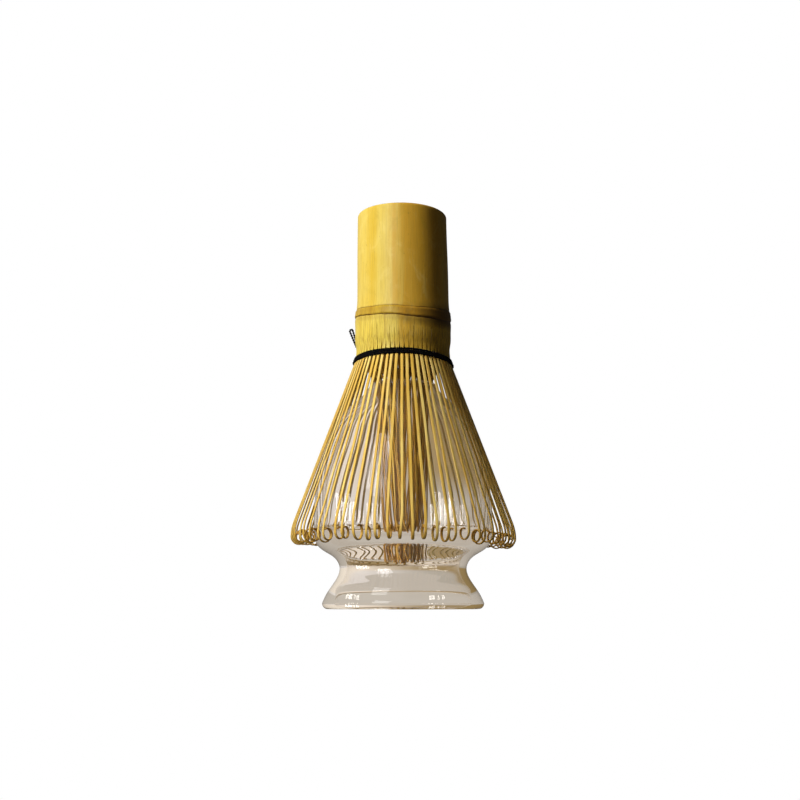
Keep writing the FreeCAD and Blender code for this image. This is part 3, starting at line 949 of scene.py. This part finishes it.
WHITE = (1.0, 1.0, 1.0)
FLOOR_COLOUR = (0.10, 0.095, 0.09)
FLOOR_IN_GLOSS = (0.06, 0.05, 0.04)
FLOOR_IN_GLASS = (0.57, 0.515, 0.44)
ROOM_LIGHT = (0.014, 0.012, 0.010)
THROUGH_GLASS = ("Transmission Depth", "Is Singular Ray")
WARM, DAY, GOLDEN = (1.0, 0.98, 0.93), (0.94, 0.97, 1.0), (1.0, 0.82, 0.55)
CAMERA_LENS, CAMERA_SENSOR = 56.587, 36     # both in millimetres
CAMERA_PLACE = (-0.0009, -0.370, 0.002)     # in metres
CAMERA_TILT = 9.127                         # degrees above level


def by_ray(nodes, links, colours):
    """A colour that depends on the ray.

    colours is a list of (Light Path outputs, colour or socket): the outputs are multiplied, and the
    last row whose product isn't 0 wins. The first row is for every other ray.
    """
    path = nodes.new("ShaderNodeLightPath")
    colour = None
    for outputs, tint in colours:
        if colour is None:
            colour = tint
            continue
        share = None
        for output in outputs:
            once = nodes.new("ShaderNodeMath")
            once.operation = "MULTIPLY" if share else "ADD"
            once.use_clamp = True
            once.inputs[1].default_value = 0.0
            links.new(path.outputs[output], once.inputs[0])
            if share:
                links.new(share, once.inputs[1])
            share = once.outputs[0]
        colour = mix_colours(nodes, links, share, colour, tint)
    return colour


def make_floor():
    """A floor that is white to the camera and darker to the rays that light or cross the glass."""
    mesh = bpy.data.meshes.new("floor")
    reach, z = 3.0, -0.0001
    corners = [(-reach, -reach, z), (reach, -reach, z), (reach, reach, z), (-reach, reach, z)]
    mesh.from_pydata(corners, [], [(0, 1, 2, 3)])
    s = Shader("floor", Roughness=0.9)
    s.finish((*FLOOR_COLOUR, 1))
    tint = by_ray(s.nodes, s.links, (
        ((), FLOOR_IN_GLOSS),
        (THROUGH_GLASS, FLOOR_IN_GLASS),
        (("Is Camera Ray",), WHITE),
    ))
    glow = s.node("ShaderNodeEmission", {"Color": tint, "Strength": 1.0})
    bounced = s.node("ShaderNodeLightPath").outputs["Diffuse Depth"]
    both = s.node("ShaderNodeMixShader", {0: s.math("MINIMUM", bounced, 1.0)})
    s.links.new(glow.outputs[0], both.inputs[1])
    s.links.new(s.main.outputs[0], both.inputs[2])
    s.links.new(both.outputs[0], s.nodes["Material Output"].inputs["Surface"])
    mesh.materials.append(s.material)
    floor = bpy.data.objects.new("floor", mesh)
    bpy.context.scene.collection.objects.link(floor)


def area_light(
        name, azimuth, elevation, distance, target_z, size, watts, colour, glossy, only=None):
    """A lamp that faces the axis at target_z; azimuth is in degrees to the right of the front.

    glossy lamps are seen only in reflections, and the others light the object and aren't reflected.
    only is a collection: nothing else gets the lamp's light.
    """
    lamp = bpy.data.lights.new(name, "AREA")
    lamp.shape = "RECTANGLE"
    lamp.size, lamp.size_y = size
    lamp.energy = watts
    lamp.color = colour
    made = bpy.data.objects.new(name, lamp)
    bpy.context.scene.collection.objects.link(made)
    a, e = math.radians(azimuth), math.radians(elevation)
    target = Vector((0, 0, target_z))
    away = Vector((math.sin(a) * math.cos(e), -math.cos(a) * math.cos(e), math.sin(e)))
    made.location = target + away * distance
    made.rotation_euler = (-away).to_track_quat("-Z", "Y").to_euler()
    made.visible_diffuse = not glossy
    made.visible_glossy = glossy
    made.visible_transmission = False
    if only:
        made.light_linking.receiver_collection = only


def group(name, part):
    """A collection of the pieces whose name holds the part."""
    made = bpy.data.collections.new(name)
    for piece in bpy.data.objects:
        if part in piece.name:
            made.objects.link(piece)
    return made


def make_world():
    """A studio that is lighter on the left, seen in glass and gloss, and white to the camera."""
    world = bpy.data.worlds.new("studio")
    bpy.context.scene.world = world
    world.use_nodes = True
    nodes, links = world.node_tree.nodes, world.node_tree.links
    direction = nodes.new("ShaderNodeTexCoord").outputs["Generated"]
    split = nodes.new("ShaderNodeSeparateXYZ")
    links.new(direction, split.inputs[0])

    def graded(axis, low, high, first, last):
        """A colour that goes from first to last as the direction's axis goes from low to high."""
        share = nodes.new("ShaderNodeMapRange")
        share.interpolation_type = "SMOOTHSTEP"
        share.inputs["From Min"].default_value = low
        share.inputs["From Max"].default_value = high
        links.new(split.outputs[axis], share.inputs["Value"])
        return mix_colours(nodes, links, share.outputs["Result"], first, last)

    lit_side = graded("Z", 0.04, 0.12, (0.84, 0.78, 0.72), (0.95, 0.84, 0.70))
    golden_side = graded("Z", 0.04, 0.12, (0.49, 0.445, 0.375), (0.34, 0.235, 0.095))
    colour = by_ray(nodes, links, (
        ((), graded("X", -0.7, 0.4, (0.40, 0.38, 0.34), (0.04, 0.035, 0.03))),
        (THROUGH_GLASS, graded("X", -0.13, 0.09, lit_side, golden_side)),
        (("Diffuse Depth",), ROOM_LIGHT),
        (("Is Camera Ray",), WHITE),
    ))
    links.new(colour, nodes["Background"].inputs["Color"])


def make_camera():
    camera = bpy.data.cameras.new("camera")
    camera.lens = CAMERA_LENS
    camera.sensor_width = CAMERA_SENSOR
    camera.clip_start = 0.01
    made = bpy.data.objects.new("camera", camera)
    bpy.context.scene.collection.objects.link(made)
    made.location = CAMERA_PLACE
    made.rotation_euler = (math.radians(90 + CAMERA_TILT), 0, 0)
    bpy.context.scene.camera = made


make_floor()
make_world()
make_camera()
area_light("key", -51, 33, 0.54, 0.07, (0.16, 0.30), 3.4, WARM, False)
area_light("side", -92, 10, 0.52, 0.06, (0.20, 0.30), 0.6, WARM, False)
area_light("back", 176, 25, 0.55, 0.07, (0.30, 0.30), 1.5, WARM, False)
area_light("window", -33, 25, 0.55, 0.04, (0.20, 0.30), 0.9, DAY, True)
tines_only = group("tines_only", "tine_set")
bundle_only = group("bundle_only", "inner_tine")
glass_only = group("glass_only", "stand_bell")
area_light("fill", -22, -4, 0.50, 0.045, (0.24, 0.24), 1.0, GOLDEN, False, tines_only)
area_light("bundle", -68, 4, 0.50, 0.04, (0.20, 0.20), 1.6, GOLDEN, False, bundle_only)
for i, (azimuth, width, watts) in enumerate((
        (-81, 0.03, 0.10), (-75, 0.05, 0.22), (-68, 0.02, 0.07), (-63, 0.045, 0.18),
        (38, 0.07, 0.30), (47, 0.02, 0.07), (54, 0.04, 0.14))):
    area_light(f"pane_{i}", azimuth, 1, 0.50, 0.03, (width, 0.11), watts, WARM, True, glass_only)
bpy.context.scene.view_settings.view_transform = "Standard"
